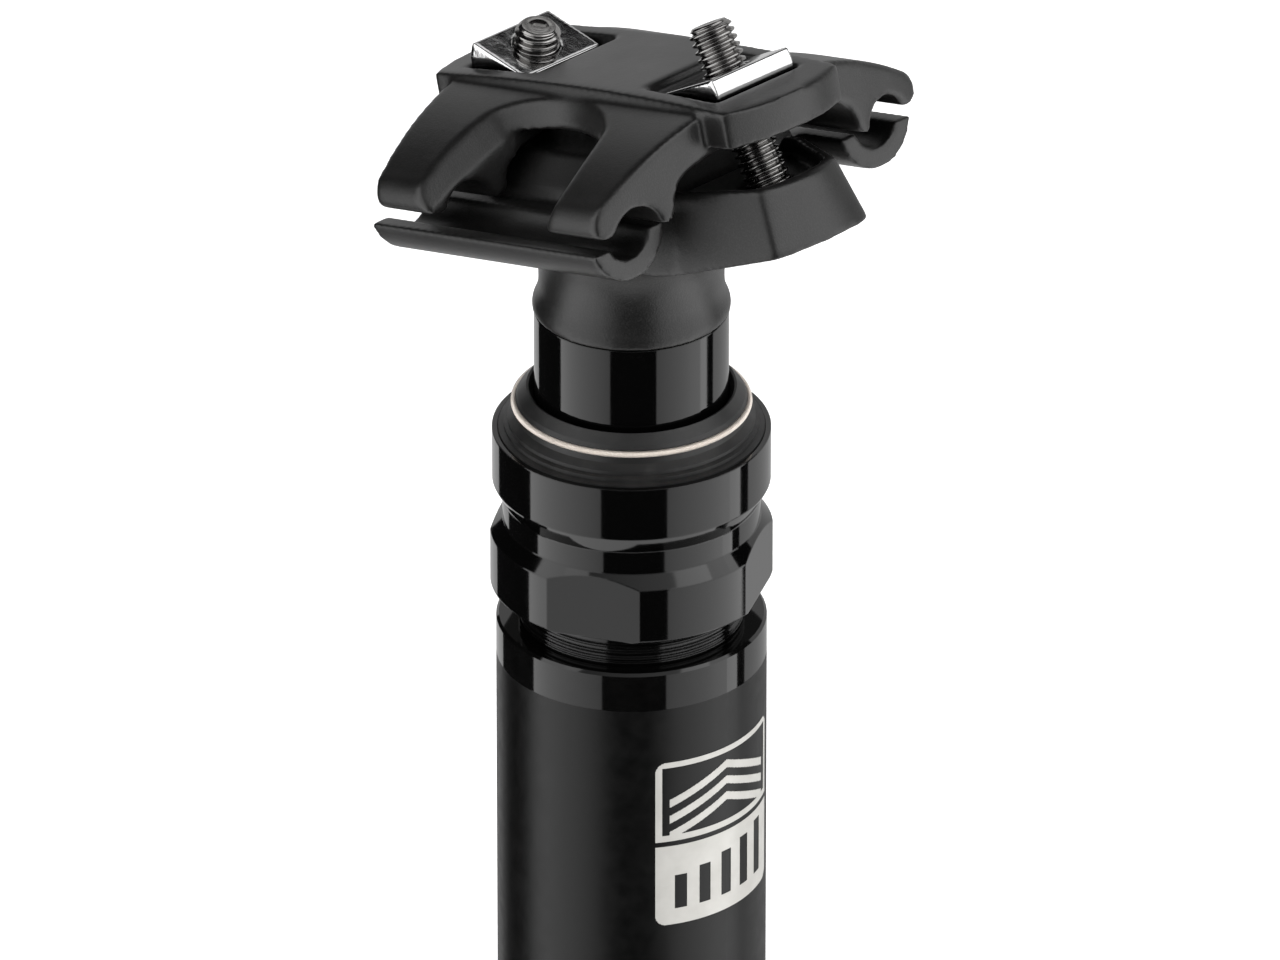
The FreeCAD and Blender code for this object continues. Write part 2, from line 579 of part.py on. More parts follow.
def lever():
    half = SIZES["lever_half_width"]
    width = "lever_half_width + lever_half_width"
    hubs = []
    for name, radius, x, z in (
        ("nose", "lever_nose_r", 0, SIZES["lever_nose_z"]),
        ("hub", "lever_hub_r", SIZES["pivot_x"], SIZES["pivot_z"]),
        ("cable_hub", "cable_hub_r", SIZES["cable_x"], SIZES["pivot_z"]),
    ):
        hubs.append(rod("lever_" + name, radius, width, Vector(x, -half, z), ACROSS))
    web = block("lever_web_plate", ("0", "0 - lever_half_width", "pivot_z - lever_web_half_height"),
                ("cable_x", "lever_half_width", "pivot_z + lever_web_half_height"))
    blank = join("lever_blank", web, *hubs)
    pivot = Vector(SIZES["pivot_x"], -half, SIZES["pivot_z"])
    anchor = Vector(SIZES["cable_x"], -half, SIZES["pivot_z"])
    wide = "cable_slit_half_width"
    slit = block("lever_cable_slit", ("cable_x - " + wide, "0 - " + wide, "pivot_z - lever_hub_r - 2"),
                 ("cable_x + " + wide, wide, "pivot_z"))
    node("actuator_lever", cut(
        "actuator_lever", blank,
        rod("lever_pivot_bore", "pin_r + running_gap", width, pivot, ACROSS),
        rod("barrel_bore", "barrel_r + fit_gap", width, anchor, ACROSS), slit))
    barrel = rod("barrel_blank", "barrel_r", width, anchor, ACROSS)
    foot = anchor + Vector(0, half, -number("barrel_r + 0.5"))
    hole = rod("barrel_cable_hole", "retainer_hole_r", "barrel_r + barrel_r + 1", foot)
    node("cable_barrel", cut("cable_barrel", barrel, hole))


# ---------------------------------------------------------------- head and saddle clamp

CLAMP = FreeCAD.Placement(
    Vector(SIZES["clamp_x"], 0, SIZES["clamp_z"]),
    FreeCAD.Rotation(ACROSS, -SIZES["clamp_pitch"]))


def bolt_place(end, height):
    """Placement on a bolt's axis, with its local Z along the bolt. End is 1 at the rear, -1 at the front."""
    angle = SIZES["rear_lean" if end > 0 else "front_lean"]
    lean = math.tan(math.radians(angle))
    x = SIZES["clamp_shift"] + end * (SIZES["nut_half_spacing"] + (SIZES["nut_height"] - height) * lean)
    turn = FreeCAD.Rotation(ACROSS, -end * angle)
    return CLAMP * FreeCAD.Placement(Vector(x, 0, height), turn)


def in_clamp(placement):
    return CLAMP.inverse() * placement


def drilled(placement, radius, low, high):
    """Drill along a placement's own Z, as a shape in the clamp frame."""
    drill = Part.makeCylinder(radius, high - low, Vector(0, 0, low))
    drill.Placement = in_clamp(placement)
    return drill


def boat(height):
    """Plan outline of the head at a height: straight flanks, tapered ends and rounded noses."""
    drop = SIZES["hull_top"] - height
    length = SIZES["hull_half_length"] + drop * SIZES["hull_flare"]
    width = SIZES["hull_half_width"] + drop * SIZES["hull_side_flare"]
    nose = SIZES["hull_nose"]
    shift = SIZES["clamp_shift"] / 2
    middle = SIZES["hull_middle"]

    def at(x, y):
        return Vector(shift + x, y, height)

    shoulder = SIZES["hull_shoulder"] + drop * SIZES["hull_side_flare"]
    edges = []
    for end in (1, -1):
        corner = at(end * (length - nose), -end * shoulder)
        beyond = at(end * (length - nose), end * shoulder)
        edges.append(Part.makeLine(at(-end * middle, -end * width), at(end * middle, -end * width)))
        edges.append(Part.makeLine(at(end * middle, -end * width), corner))
        edges.append(Part.Arc(corner, at(end * length, 0), beyond).toShape())
        edges.append(Part.makeLine(beyond, at(end * middle, end * width)))
    return Part.Wire(edges)


def ear_pocket(end):
    """Well in one end of the head, round the bolt."""
    shift = SIZES["clamp_shift"] / 2
    wall = SIZES["well_wall"]
    outer = SIZES["hull_half_length"] - wall
    shoulder = SIZES["hull_shoulder"] - wall / 2
    wide = SIZES["hull_half_width"] - wall

    def at(x, y):
        return Vector(shift + end * x, y, SIZES["well_floor"])

    inner = SIZES["well_inner"]
    near = outer - SIZES["hull_nose"]
    middle = SIZES["hull_middle"]
    points = [at(near, shoulder), at(middle, wide), at(inner, wide), at(inner, -wide), at(middle, -wide),
              at(near, -shoulder)]
    edges = [Part.makeLine(a, b) for a, b in zip(points, points[1:])]
    edges.append(Part.Arc(points[-1], at(outer, 0), points[0]).toShape())
    return face(edges).extrude(UP * SIZES["clearance_height"])


def head():
    hull = Part.makeLoft([boat(SIZES["hull_top"] - SIZES["hull_depth"]), boat(SIZES["hull_top"])], True, True)
    reach = SIZES["clearance_height"]
    keel = face([Vector(x, -reach, z) for x, z in KEEL])
    hull = hull.common(keel.extrude(ACROSS * 2 * reach))
    hull = hull.fuse(neck())
    seat = Part.makeCylinder(
        SIZES["cradle_r"] + SIZES["seat_gap"], 2 * reach, Vector(0, -reach, SIZES["tilt_centre"]), ACROSS)
    hull = hull.cut(seat)
    bolt_hole = SIZES["bolt_r"] + SIZES["bolt_clearance"]
    for end, height in ((1, SIZES["rear_seat"]), (-1, SIZES["front_seat"])):
        place = bolt_place(end, height)
        hull = hull.cut(ear_pocket(end))
        hull = hull.cut(drilled(place, bolt_hole, SIZES["washer_centre"], reach))
        hull = hull.cut(washer_seat(place))
    hull = hull.cut(post_bores())
    node("head_forging", feature("head_forging", hull.removeSplitter(), CLAMP))


def washer_seat(place):
    """Counterbore from below that ends in a hollow ball seat for the domed washer."""
    bore = drilled(place, SIZES["washer_r"] + SIZES["seat_side_gap"], -SIZES["clearance_height"], 0)
    ball = Part.makeSphere(SIZES["washer_dome_r"] + SIZES["seat_gap"], Vector(0, 0, SIZES["washer_centre"]))
    ball.Placement = in_clamp(place)
    deep = drilled(place, SIZES["washer_r"] + SIZES["seat_side_gap"], -SIZES["clearance_height"],
                   SIZES["washer_centre"])
    return bore.common(ball).fuse(deep)


def neck():
    """Spigot, neck and flare turned about the post axis, given in the clamp frame."""
    waist = Vector(SIZES["neck_waist_r"], 0, SIZES["neck_waist_z"])
    band = Vector(SIZES["neck_r"], 0, SIZES["neck_band_z"])
    crown = Vector(SIZES["neck_top_r"], 0, SIZES["neck_top_z"])
    middle = (band + waist) * 0.5 + Vector(-0.25, 0, -0.1)
    straight = [
        crown, Vector(0, 0, SIZES["neck_top_z"]), Vector(0, 0, SIZES["spigot_low_z"]),
        Vector(SIZES["spigot_r"], 0, SIZES["spigot_low_z"]),
        Vector(SIZES["spigot_r"], 0, SIZES["stanchion_top_z"]),
        Vector(SIZES["neck_r"], 0, SIZES["stanchion_top_z"]), band]
    edges = [Part.makeLine(a, b) for a, b in zip(straight, straight[1:])]
    edges.append(Part.Arc(band, middle, waist).toShape())
    edges.append(Part.Arc(waist, (waist + crown) * 0.5 + Vector(-0.6, 0, 0.6), crown).toShape())
    solid = face(edges).revolve(Vector(), UP, 360)
    solid.Placement = CLAMP.inverse()
    return solid


def post_bores():
    """Stepped bore for the oil cylinder, its cap and the air valve, given in the clamp frame."""
    low = SIZES["spigot_low_z"] - 1
    steps = [
        (SIZES["head_bore_r"], low, SIZES["head_bore_z"]),
        (SIZES["boss_bore_r"], low, SIZES["boss_bore_z"]),
        (SIZES["access_r"], SIZES["cap_boss_z"], SIZES["access_z"]),
    ]
    bore = Part.makeCylinder(steps[0][0], steps[0][2] - steps[0][1], Vector(0, 0, steps[0][1]))
    for radius, start, stop in steps[1:]:
        bore = bore.fuse(Part.makeCylinder(radius, stop - start, Vector(0, 0, start)))
    bore.Placement = CLAMP.inverse()
    return bore


def rail(side, radius, length):
    return Part.makeCylinder(
        radius, length, Vector(-length / 2, side * SIZES["rail_half_spacing"], 0), Vector(1, 0, 0))


def lower_cradle():
    length = SIZES["channel_length"]
    spacing = SIZES["rail_half_spacing"]
    half = SIZES["bridge_half_length"]
    deep = SIZES["bridge_depth"]
    wide = SIZES["channel_r"] + 1
    start = Vector(0, -spacing, SIZES["tilt_centre"])
    drum = Part.makeCylinder(SIZES["cradle_r"], 2 * spacing, start, ACROSS)
    bar = Part.makeBox(2 * half, 2 * spacing, deep, Vector(-half, -spacing, SIZES["bridge_top"] - deep))
    boss = face([Vector(-SIZES["boss_half_length"], y, z) for y, z in CRADLE_BOSS])
    solid = drum.common(bar.fuse(boss.extrude(Vector(2 * SIZES["boss_half_length"], 0, 0))))
    for side in (1, -1):
        solid = solid.fuse(rail(side, SIZES["channel_r"], length))
    for side in (1, -1):
        solid = solid.cut(rail(side, SIZES["rail_r"], length + 2))
        outer_y = spacing if side > 0 else -spacing - wide
        inner_y = spacing - wide if side > 0 else -spacing
        for y, lip in ((outer_y, SIZES["outer_lip"]), (inner_y, SIZES["inner_lip"])):
            solid = solid.cut(Part.makeBox(length + 2, wide, deep, Vector(-length / 2 - 1, y, lip)))
    node("lower_cradle", feature("lower_cradle", solid.removeSplitter(), CLAMP))


def arm_section(x):
    """Half section across the rails: top slope, rounded tip, rail groove, inner lobe and underside."""
    def at(y, z):
        return Vector(x, y, z)

    spacing = SIZES["rail_half_spacing"]
    groove = SIZES["rail_r"]
    start = math.radians(SIZES["groove_start"])
    end = math.radians(SIZES["groove_end"])
    groove_out = at(spacing + groove * math.cos(start), groove * math.sin(start))
    groove_top = at(spacing, groove)
    groove_in = at(spacing + groove * math.cos(end), groove * math.sin(end))
    top = [at(y, z) for y, z in ARM_TOP]
    tip = [at(y, z) for y, z in ARM_TIP]
    lobe = [at(y, z) for y, z in ARM_LOBE]
    slope = Part.BSplineCurve()
    slope.interpolate(top[2:])
    edges = [
        Part.makeLine(top[0], top[1]),
        Part.makeLine(top[1], top[2]),
        slope.toShape(),
        Part.Arc(top[-1], tip[0], tip[1]).toShape(),
        Part.Arc(tip[1], tip[2], groove_out).toShape(),
        Part.Arc(groove_out, groove_top, groove_in).toShape(),
        Part.Arc(groove_in, lobe[0], lobe[1]).toShape(),
        Part.Arc(lobe[1], lobe[2], lobe[3]).toShape(),
        Part.makeLine(lobe[3], lobe[4]),
        Part.makeLine(lobe[4], top[0]),
    ]
    return face(edges)


def arm_plan():
    """Plan of the two arms on one side: wide at the plate, narrow at the tips, with an arched gap."""
    low = -SIZES["clearance_height"]
    shift = SIZES["clamp_shift"]

    def at(side, x, y):
        return Vector(shift + side * x, y, low)

    right = [at(1, x, y) for x, y in ARM_INSIDE + ARM_OUTSIDE]
    left = [at(-1, x, y) for x, y in ARM_INSIDE + ARM_OUTSIDE]
    edges = [Part.makeLine(a, b) for a, b in zip(right, right[1:])]
    edges.append(Part.makeLine(right[-1], left[-1]))
    edges += [Part.makeLine(b, a) for a, b in zip(left, left[1:])][::-1]
    edges.append(Part.Arc(left[0], at(1, 0, SIZES["arch_y"]), right[0]).toShape())
    return face(edges).extrude(UP * 2 * SIZES["clearance_height"])


def gap_outline(height):
    """Outline of the tapering gap between two arms, on a plane that falls with them, at a height over it."""
    share = 1 + height / SIZES["bevel_drop"]
    inset = share * SIZES["bevel_inset"]

    def at(x, y):
        fall = (y - SIZES["arch_y"]) * SIZES["arm_slope"]
        return Vector(SIZES["clamp_shift"] + x, y, SIZES["arm_top_at_arch"] + height - fall)

    crown = at(0, SIZES["arch_y"] - share * SIZES["bevel_arch_inset"])
    right = [at(x + inset, y) for x, y in ARM_INSIDE]
    left = [at(-x - inset, y) for x, y in ARM_INSIDE]
    edges = [Part.Arc(left[0], crown, right[0]).toShape()]
    edges += [Part.makeLine(a, b) for a, b in zip(right, right[1:])]
    edges.append(Part.makeLine(right[-1], left[-1]))
    edges += [Part.makeLine(b, a) for a, b in zip(left, left[1:])][::-1]
    return Part.Wire(edges)


def gap_bevel():
    """Tapered plug that bevels the top edge of the gap between two arms."""
    rise = SIZES["bevel_rise"]
    return Part.makeLoft([gap_outline(-SIZES["bevel_drop"] - rise), gap_outline(rise)], True, True)


def plate_outline(height):
    """Plan of the top plate, with bowed ends."""
    half = SIZES["plate_half_length"]
    wide = SIZES["plate_half_width"]
    near = half - SIZES["plate_bow"]

    def at(x, y):
        return Vector(SIZES["plate_x"] + x, y, height)

    edges = [
        Part.Arc(at(near, -wide), at(half, 0), at(near, wide)).toShape(),
        Part.makeLine(at(near, wide), at(-near, wide)),
        Part.Arc(at(-near, wide), at(-half, 0), at(-near, -wide)).toShape(),
        Part.makeLine(at(-near, -wide), at(near, -wide))]
    return face(edges)


def nut_recess(end):
    """Shallow recess in the plate over one nut, its half-round seat and the slot its bolt swings in."""
    nut_place = bolt_place(end, SIZES["nut_height"])
    centre = in_clamp(nut_place).Base
    seat_r = SIZES["nut_r"] + SIZES["nut_pocket_gap"]
    reach = SIZES["recess_half_width"]
    span = SIZES["recess_inner"] + SIZES["recess_outer"]
    tall = SIZES["clearance_height"]
    seat = Part.makeCylinder(seat_r, 2 * reach, centre - ACROSS * reach, ACROSS)
    above = Part.makeBox(2 * seat_r, 2 * reach, tall, centre - Vector(seat_r, reach, 0))
    start = centre.x - (SIZES["recess_inner"] if end > 0 else SIZES["recess_outer"])
    shallow = Part.makeBox(span, 2 * reach, tall, Vector(start, -reach, SIZES["recess_floor"]))
    shallow = shallow.makeFillet(SIZES["recess_corner_r"], [
        edge for edge in shallow.Edges
        if abs(edge.tangentAt(edge.FirstParameter).z) > 0.9])
    recess = seat.fuse(above).fuse(shallow)
    bolt_hole = SIZES["bolt_r"] + SIZES["bolt_clearance"]
    for swing in (-SIZES["bolt_swing"], 0, SIZES["bolt_swing"]):
        leaning = nut_place * FreeCAD.Placement(Vector(), FreeCAD.Rotation(ACROSS, swing))
        recess = recess.fuse(drilled(leaning, bolt_hole, -tall, SIZES["nut_r"]))
    return recess


def upper_clamp():
    tall = SIZES["clearance_height"]
    under = SIZES["plate_under"]
    wing = arm_section(-SIZES["plate_half_length"]).extrude(Vector(2 * SIZES["plate_half_length"], 0, 0))
    wing = wing.common(arm_plan()).cut(gap_bevel())
    plate = plate_outline(under).extrude(UP * (SIZES["plate_top"] - under))
    crown_r = SIZES["crown_r"]
    crown_start = Vector(SIZES["plate_x"], -tall, SIZES["plate_top"] - crown_r)
    crown = Part.makeCylinder(crown_r, 2 * tall, crown_start, ACROSS)
    solid = wing.fuse(wing.mirror(Vector(), ACROSS)).fuse(plate.common(crown))
    half = SIZES["arch_half_length"]
    reach = SIZES["arch_reach"]
    start = Vector(SIZES["clamp_shift"] - half, -reach, SIZES["rim_under"] - tall)
    solid = solid.cut(Part.makeBox(2 * half, 2 * reach, tall, start))
    for end in (1, -1):
        solid = solid.cut(nut_recess(end))
    node("upper_clamp", feature("upper_clamp", solid.removeSplitter(), CLAMP))


def domed_washer(label):
    """Washer flat against the bolt head and domed above, on a ball centred on the bolt's swing axis."""
    centre = SIZES["washer_centre"]
    dome_r = SIZES["washer_dome_r"]
    hole = number("bolt_r + fit_gap")
    rim = SIZES["washer_r"]
    crest = centre + math.sqrt(dome_r ** 2 - hole ** 2)
    edge = centre + math.sqrt(dome_r ** 2 - rim ** 2)
    middle = (hole + rim) / 2
    flat = -SIZES["washer_thickness"]
    points = [Vector(rim, 0, edge), Vector(rim, 0, flat), Vector(hole, 0, flat), Vector(hole, 0, crest)]
    edges = [Part.makeLine(a, b) for a, b in zip(points, points[1:])]
    top = Vector(middle, 0, centre + math.sqrt(dome_r ** 2 - middle ** 2))
    edges.append(Part.Arc(points[3], top, points[0]).toShape())
    return node(label, feature(label, face(edges).revolve(Vector(), UP, 360)))


def clamp_bolt(name, place):
    """Socket-head bolt whose washer seat is at the origin of its placement."""
    head_low = "0 - washer_thickness - bolt_head_height"
    head_top = "0 - washer_thickness - fit_gap"
    shank = turned(name + "_bolt_blank", [
        ("0", head_low),
        ("bolt_head_r - bolt_edge", head_low),
        ("bolt_head_r", head_low + " + bolt_edge"),
        ("bolt_head_r", head_top),
        ("bolt_r", head_top),
        ("bolt_r", "bolt_length - bolt_tip"),
        ("bolt_r - bolt_tip", "bolt_length"),
        ("0", "bolt_length"),
    ])
    socket = doc.addObject("Part::Prism", name + "_bolt_socket")
    socket.Polygon = 6
    bind(socket, Circumradius="socket_r", Height="socket_depth")
    socket.Placement.Base = Vector(0, 0, number(head_low))
    bolt = node(f"{name}_clamp_bolt", cut(f"{name}_clamp_bolt", shank, socket))
    bolt.Placement = place


def barrel_nut(name, place):
    """Cylinder lying across the clamp, flattened on top and drilled for its bolt."""
    start = Vector(0, -SIZES["nut_length"] / 2, 0)
    barrel = rod(name + "_nut_barrel", "nut_r", "nut_length", start, ACROSS)
    reach = "clearance_height"
    top = block(name + "_nut_flat", ("0 - " + reach, "0 - " + reach, "nut_top"), (reach, reach, reach))
    hole = rod(name + "_nut_hole", "bolt_r + running_gap", "nut_r + nut_r", -UP * SIZES["nut_r"])
    nut = node(f"{name}_barrel_nut", cut(f"{name}_barrel_nut", barrel, top, hole))
    nut.Placement = place


def bolts():
    for end, name, seat in ((1, "rear", "rear_seat"), (-1, "front", "front_seat")):
        place = bolt_place(end, SIZES[seat])
        clamp_bolt(name, place)
        washer = domed_washer(name + "_bolt_washer")
        washer.Placement = place
        barrel_nut(name, bolt_place(end, SIZES["nut_height"]))


# ---------------------------------------------------------------- build, check and write

def failed(thing):
    return any(state in ("Invalid", "Error") for state in thing.State)


for build in (lower_tube, collar, collar_fill, stanchion, oil_column, piston_and_rod, valve, actuator, lever,
              head, lower_cradle, upper_clamp, bolts):
    build()
doc.recompute()

for thing in doc.Objects:
    if failed(thing):
        raise RuntimeError(f"{thing.Name} failed to build: {thing.State}")
for name, thing in nodes.items():
    if thing.Shape.isNull() or not thing.Shape.isValid():
        raise RuntimeError(f"{name} has no valid shape")
    if not thing.Shape.Solids:
        raise RuntimeError(f"{name} holds no solid")

os.makedirs("parts", exist_ok=True)
for name, thing in nodes.items():
    thing.Shape.exportStep(f"parts/{name}.step")
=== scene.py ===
"""Looks of the telescoping seatpost: forged, machined, rubber and chromed surfaces, stage and light."""
import json
import math

import bpy
import numpy as np
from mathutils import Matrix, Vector

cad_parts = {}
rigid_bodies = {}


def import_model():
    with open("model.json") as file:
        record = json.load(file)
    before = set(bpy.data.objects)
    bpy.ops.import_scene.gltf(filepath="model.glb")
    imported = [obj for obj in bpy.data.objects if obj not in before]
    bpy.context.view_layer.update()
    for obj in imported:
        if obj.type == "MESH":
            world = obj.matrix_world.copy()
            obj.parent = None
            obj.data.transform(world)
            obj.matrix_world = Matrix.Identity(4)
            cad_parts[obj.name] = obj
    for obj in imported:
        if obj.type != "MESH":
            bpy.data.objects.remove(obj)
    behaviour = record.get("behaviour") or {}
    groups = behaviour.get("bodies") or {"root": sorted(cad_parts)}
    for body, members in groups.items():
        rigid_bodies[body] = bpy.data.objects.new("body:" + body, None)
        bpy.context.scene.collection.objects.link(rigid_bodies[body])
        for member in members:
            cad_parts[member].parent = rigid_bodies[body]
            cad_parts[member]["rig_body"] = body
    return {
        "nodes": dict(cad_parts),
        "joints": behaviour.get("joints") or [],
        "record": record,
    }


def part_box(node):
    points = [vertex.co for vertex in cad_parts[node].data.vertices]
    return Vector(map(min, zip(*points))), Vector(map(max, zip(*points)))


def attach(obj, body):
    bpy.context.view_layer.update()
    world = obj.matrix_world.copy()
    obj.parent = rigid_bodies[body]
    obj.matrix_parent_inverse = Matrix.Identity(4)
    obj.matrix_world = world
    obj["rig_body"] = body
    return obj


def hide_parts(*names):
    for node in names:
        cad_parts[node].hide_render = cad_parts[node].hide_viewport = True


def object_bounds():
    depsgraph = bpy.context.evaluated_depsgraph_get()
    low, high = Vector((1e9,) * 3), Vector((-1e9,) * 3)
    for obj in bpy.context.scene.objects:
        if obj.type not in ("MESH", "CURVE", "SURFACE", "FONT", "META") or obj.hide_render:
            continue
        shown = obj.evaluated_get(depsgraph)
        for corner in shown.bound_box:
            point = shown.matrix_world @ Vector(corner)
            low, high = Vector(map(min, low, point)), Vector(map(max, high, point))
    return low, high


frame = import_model()
CAD_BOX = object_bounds()
MM = 0.001
NODES = frame["nodes"]
JOINTS = {joint["name"]: joint for joint in frame["joints"]}
FULL_TURN = 2 * math.pi

MIDDLE = (0.3, 0.7)         # the part of a noise's range where most of its values lie
NARROW_MIDDLE = (0.35, 0.65)
EVEN = (1, 1, 1)


# ---------------------------------------------------------------- shader helpers

class Shader:
    """A node material under construction, with short calls for the nodes it is made of.

    Lengths are in millimetres. Colour mixes take their two colours by socket number, because the node has
    sockets of the same name for each of its data types.
    """

    COLOUR_A, COLOUR_B, COLOUR_RESULT = 6, 7, 2
    FLOAT_A, FLOAT_B = 2, 3

    def __init__(self, name):
        self.material = bpy.data.materials.new(name)
        self.material.use_nodes = True
        self.tree = self.material.node_tree
        self.surface = self.tree.nodes["Principled BSDF"]
        self.place = self.node("ShaderNodeTexCoord").outputs["Object"]

    def node(self, kind, **settings):
        made = self.tree.nodes.new(kind)
        for key, value in settings.items():
            setattr(made, key, value)
        return made

    def link(self, source, target):
        self.tree.links.new(source, target)

    def feed(self, socket, value):
        if isinstance(value, bpy.types.NodeSocket):
            self.link(value, socket)
        else:
            socket.default_value = value

    def noise(self, per_mm, detail, stretch=EVEN):
        """Noise with about per_mm cells in a millimetre."""
        mapping = self.node("ShaderNodeMapping")
        mapping.inputs["Scale"].default_value = [per_mm / MM * s for s in stretch]
        self.link(self.place, mapping.inputs["Vector"])
        made = self.node("ShaderNodeTexNoise")
        made.inputs["Scale"].default_value = 1.0
        made.inputs["Detail"].default_value = detail
        made.inputs["Roughness"].default_value = 0.55
        self.link(mapping.outputs["Vector"], made.inputs["Vector"])
        return made.outputs["Fac"]

    def ramp(self, value, low, high, from_low=0.0, from_high=1.0):
        made = self.node("ShaderNodeMapRange")
        made.inputs["From Min"].default_value = from_low
        made.inputs["From Max"].default_value = from_high
        made.inputs["To Min"].default_value = low
        made.inputs["To Max"].default_value = high
        self.link(value, made.inputs["Value"])
        return made.outputs["Result"]

    def maths(self, operation, a, b):
        made = self.node("ShaderNodeMath", operation=operation)
        self.feed(made.inputs[0], a)
        self.feed(made.inputs[1], b)
        return made.outputs["Value"]

    def mix_colour(self, share, a, b):
        made = self.node("ShaderNodeMix", data_type="RGBA")
        self.feed(made.inputs["Factor"], share)
        self.feed(made.inputs[self.COLOUR_A], a)
        self.feed(made.inputs[self.COLOUR_B], b)
        return made.outputs[self.COLOUR_RESULT]

    def mix_value(self, share, a, b):
        made = self.node("ShaderNodeMix", data_type="FLOAT")
        self.feed(made.inputs["Factor"], share)
        self.feed(made.inputs[self.FLOAT_A], a)
        self.feed(made.inputs[self.FLOAT_B], b)
        return made.outputs[0]

    def wear(self, radius):
        """Rises where the surface turns sharply, from the gap between bevelled and true normals."""
        sharp = 0.86
        bevel = self.node("ShaderNodeBevel", samples=4)
        bevel.inputs["Radius"].default_value = radius * MM
        true = self.node("ShaderNodeNewGeometry").outputs["Normal"]
        dot = self.node("ShaderNodeVectorMath", operation="DOT_PRODUCT")
        self.link(bevel.outputs["Normal"], dot.inputs[0])
        self.link(true, dot.inputs[1])
        return self.ramp(dot.outputs["Value"], 1.0, 0.0, sharp, 1.0)

    def openness(self, reach):
        """Near 1 on open surfaces and low deep between parts."""
        made = self.node("ShaderNodeAmbientOcclusion", samples=6)
        made.inputs["Distance"].default_value = reach * MM
        return made.outputs["AO"]

    def bump(self, height, depth, strength, soft_edge=0.0):
        made = self.node("ShaderNodeBump")
        if soft_edge:
            bevel = self.node("ShaderNodeBevel", samples=6)
            bevel.inputs["Radius"].default_value = soft_edge * MM
            self.link(bevel.outputs["Normal"], made.inputs["Normal"])
        made.inputs["Strength"].default_value = strength
        made.inputs["Distance"].default_value = depth * MM
        self.link(height, made.inputs["Height"])
        self.link(made.outputs["Normal"], self.surface.inputs["Normal"])

    def finish(self, colour, roughness, metallic=0.0, specular=0.5):
        self.feed(self.surface.inputs["Base Color"], colour)
        self.feed(self.surface.inputs["Roughness"], roughness)
        self.feed(self.surface.inputs["Metallic"], metallic)
        self.feed(self.surface.inputs["Specular IOR Level"], specular)
        return self.material


def grey(level, warm=0.0):
    """Grey of one brightness, warmer where red is raised and blue lowered by the same share."""
    return (level * (1 + warm), level, level * (1 - warm), 1)


# ---------------------------------------------------------------- materials

def gloss_anodised():
    """Polished black anodising with faint turning marks and handling haze."""
    s = Shader("gloss_anodised")
    haze = s.noise(0.12, 4)
    lines = s.noise(1.0, 2, (0.02, 0.02, 9))
    colour = s.mix_colour(s.wear(0.12), grey(0.0012), grey(0.012))
    s.bump(lines, 0.0012, 0.3, soft_edge=0.3)
    rough = s.maths("ADD", s.ramp(haze, 0.035, 0.075, *MIDDLE), s.ramp(lines, 0.0, 0.03))
    return s.finish(colour, rough, specular=0.52)


def satin_anodised():
    """Fine satin black anodising on the lower tube, with a polished band under its top edge."""
    s = Shader("satin_anodised")
    height = s.node("ShaderNodeSeparateXYZ")
    s.link(s.place, height.inputs["Vector"])
    band_foot, fade = -5.45 * MM, 0.15 * MM
    band = s.ramp(height.outputs["Z"], 0.0, 1.0, band_foot, band_foot + fade)
    grain = s.noise(6.5, 3)
    mottle = s.noise(0.5, 4)
    colour = s.mix_colour(s.ramp(mottle, 0.0, 1.0, *MIDDLE), grey(0.0014), grey(0.0028, 0.02))
    s.bump(s.maths("MULTIPLY", grain, s.ramp(band, 1.0, 0.0)), 0.006, 0.5)
    satin = s.ramp(mottle, 0.32, 0.39, *MIDDLE)
    polished = 0.07
    facing = s.node("ShaderNodeLayerWeight").outputs["Facing"]
    rim = s.ramp(facing, 0.31, 0.04, 0.4, 0.95)
    shine = s.maths("MAXIMUM", rim, s.maths("MULTIPLY", band, 0.46))
    return s.finish(colour, s.mix_value(band, satin, polished), specular=shine)


def forged_anodised():
    """Bead-blasted black anodising of the forgings, paler where edges have rubbed, with painted shade
    dimming its reflection deep between parts.
    """
    s = Shader("forged_anodised")
    grain = s.noise(4.2, 2)
    coarse = s.noise(1.3, 3)
    cloud = s.noise(0.09, 3)
    base = s.mix_colour(s.ramp(cloud, 0.0, 1.0, *MIDDLE), grey(0.006), grey(0.01, 0.02))
    speck = s.mix_colour(s.ramp(grain, 0.0, 0.4, 0.45, 0.8), base, grey(0.03, 0.02))
    colour = s.mix_colour(s.maths("MULTIPLY", s.wear(0.3), 0.25), speck, grey(0.07, 0.02))
    s.bump(s.maths("ADD", grain, s.maths("MULTIPLY", coarse, 0.6)), 0.034, 0.65)
    # Painted shade: ambient occlusion lowers the reflection in recesses and between parts.
    shade = s.ramp(s.openness(8), 0.0, 0.57, 0.1, 0.66)
    return s.finish(colour, s.ramp(cloud, 0.33, 0.39, *MIDDLE), specular=shade)


def rubber():
    """Matte moulded rubber with a fine skin, a little dust and oil."""
    s = Shader("rubber")
    skin = s.noise(3.0, 3)
    dust = s.noise(0.35, 5)
    colour = s.mix_colour(s.ramp(dust, 0.0, 0.5, 0.5, 0.8), grey(0.016), grey(0.045, 0.04))
    s.bump(skin, 0.012, 0.5)
    return s.finish(colour, s.ramp(dust, 0.34, 0.5, *MIDDLE), specular=0.42)


